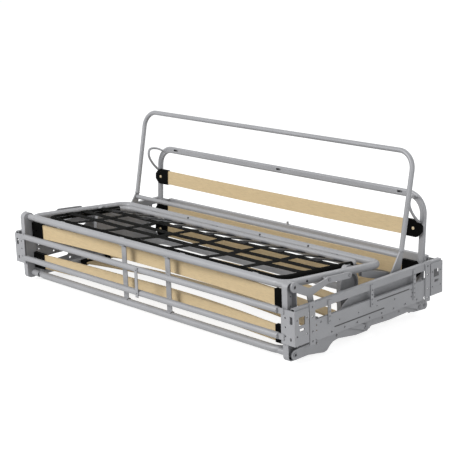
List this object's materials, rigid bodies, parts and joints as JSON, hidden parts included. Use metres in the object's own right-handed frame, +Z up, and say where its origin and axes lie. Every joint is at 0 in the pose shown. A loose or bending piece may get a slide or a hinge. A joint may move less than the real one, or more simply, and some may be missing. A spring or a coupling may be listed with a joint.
{
  "type": "roll-out sofa bed mechanism",
  "caption": "Steel roll-out bed mechanism for a sofa: lifting side links, folding slatted panels, a webbed seat frame and a hinged backrest loop.",
  "frame": {"origin": "midway between the front bracket flanges, on their front faces, at half the brackets' height", "axes": "+X to the right along the sofa seen from the front, +Y from the front flanges to the back, +Z up"},
  "size_m": [1.69, 0.8722, 0.6599],
  "materials": {
    "coated_steel": "satin powder coat",
    "zinc": "zinc-plated",
    "beech": "satin beech veneer",
    "cap_plastic": "fine grained matt",
    "webbing": "woven elastic strap"
  },
  "bodies": {
    "cage": {"bracket_front_left": "coated_steel", "bracket_front_right": "coated_steel", "bracket_rear_left": "coated_steel", "bracket_rear_right": "coated_steel", "front_tube_upper": "coated_steel", "front_tube_lower": "coated_steel", "front_center_bar": "coated_steel", "rear_beam": "coated_steel", "rear_tube_lower": "coated_steel", "side_rail_left": "coated_steel", "side_rail_right": "coated_steel", "side_beam_left": "coated_steel", "side_beam_right": "coated_steel", "side_posts_left": "coated_steel", "side_posts_right": "coated_steel", "base_pivots_left": "zinc", "base_pivots_right": "zinc"},
    "front_link_left": {"front_link_left": "coated_steel"},
    "front_link_right": {"front_link_right": "coated_steel"},
    "rear_link_left": {"rear_link_left": "coated_steel"},
    "rear_link_right": {"rear_link_right": "coated_steel"},
    "middle": {"middle_frame": "coated_steel", "middle_plate_left": "coated_steel", "middle_plate_right": "coated_steel", "middle_spacers": "zinc", "middle_pivots_left": "zinc", "middle_pivots_right": "zinc", "head_pins": "zinc", "middle_slats": "beech", "middle_slat_caps": "cap_plastic"},
    "panel": {"panel_channel_left": "coated_steel", "panel_channel_right": "coated_steel", "panel_pins": "coated_steel", "panel_slats": "beech", "panel_slat_caps": "cap_plastic", "panel_straps": "coated_steel"},
    "seat": {"seat_frame": "coated_steel", "webbing_loop": "coated_steel", "webbing": "webbing", "webbing_hems": "webbing", "seat_tie_plates": "zinc", "seat_lever_left": "coated_steel", "seat_lever_right": "coated_steel", "lever_bolts": "zinc", "backrest_arms": "coated_steel", "backrest_pins": "zinc", "prop_pins": "zinc"},
    "prop_left": {"seat_prop_left": "coated_steel"},
    "prop_right": {"seat_prop_right": "coated_steel"},
    "backrest": {"backrest_loop": "coated_steel", "backrest_cross_tube": "coated_steel", "backrest_plate_left": "coated_steel", "backrest_plate_right": "coated_steel"},
    "head": {"head_frame": "coated_steel", "head_slats": "beech", "head_slat_caps": "cap_plastic", "head_corner_rods": "coated_steel"}
  },
  "joints": [
    {"name": "lift", "type": "hinge", "parent": "cage", "child": "front_link_left", "pos_m": [-0.817, 0.14, -0.0065], "axis": [1, 0, 0], "range_deg": [0, 165]},
    {"name": "lift_front_right", "type": "hinge", "parent": "cage", "child": "front_link_right", "pos_m": [0.817, 0.14, -0.0065], "axis": [1, 0, 0], "range_deg": [0, 165]},
    {"name": "lift_rear_left", "type": "hinge", "parent": "cage", "child": "rear_link_left", "pos_m": [-0.817, 0.462, -0.0065], "axis": [1, 0, 0], "range_deg": [0, 165]},
    {"name": "lift_rear_right", "type": "hinge", "parent": "cage", "child": "rear_link_right", "pos_m": [0.817, 0.462, -0.0065], "axis": [1, 0, 0], "range_deg": [0, 165]},
    {"name": "middle_level", "type": "hinge", "parent": "front_link_left", "child": "middle", "pos_m": [-0.817, 0.41251, -0.10569], "axis": [1, 0, 0], "range_deg": [-165, 0]},
    {"name": "panel_fold", "type": "hinge", "parent": "middle", "child": "panel", "pos_m": [0, 0.039, -0.113], "axis": [1, 0, 0], "range_deg": [0, 90]},
    {"name": "seat_fold", "type": "hinge", "parent": "panel", "child": "seat", "pos_m": [0, 0.039, 0.139], "axis": [1, 0, 0], "range_deg": [0, 94.65]},
    {"name": "prop_left_swing", "type": "hinge", "parent": "seat", "child": "prop_left", "pos_m": [-0.732, 0.40081, 0.10957], "axis": [1, 0, 0], "range_deg": [-184.65, 0]},
    {"name": "prop_right_swing", "type": "hinge", "parent": "seat", "child": "prop_right", "pos_m": [0.732, 0.40081, 0.10957], "axis": [1, 0, 0], "range_deg": [-184.65, 0]},
    {"name": "backrest_fold", "type": "hinge", "parent": "seat", "child": "backrest", "pos_m": [0, 0.59984, 0.04021], "axis": [1, 0, 0], "range_deg": [0, 62]},
    {"name": "head_fold", "type": "hinge", "parent": "middle", "child": "head", "pos_m": [0, 0.781, -0.113], "axis": [1, 0, 0], "range_deg": [-86.2, 0]}
  ],
  "couplings": [
    {"joint": "lift_front_right", "follows": "lift", "ratio": 1},
    {"joint": "lift_rear_left", "follows": "lift", "ratio": 1},
    {"joint": "lift_rear_right", "follows": "lift", "ratio": 1},
    {"joint": "middle_level", "follows": "lift", "ratio": -1},
    {"joint": "panel_fold", "follows": "lift", "ratio": 0.54546},
    {"joint": "seat_fold", "follows": "lift", "ratio": 0.57364},
    {"joint": "prop_left_swing", "follows": "lift", "ratio": -1.1191},
    {"joint": "prop_right_swing", "follows": "lift", "ratio": -1.1191},
    {"joint": "head_fold", "follows": "lift", "ratio": -0.52242}
  ]
}
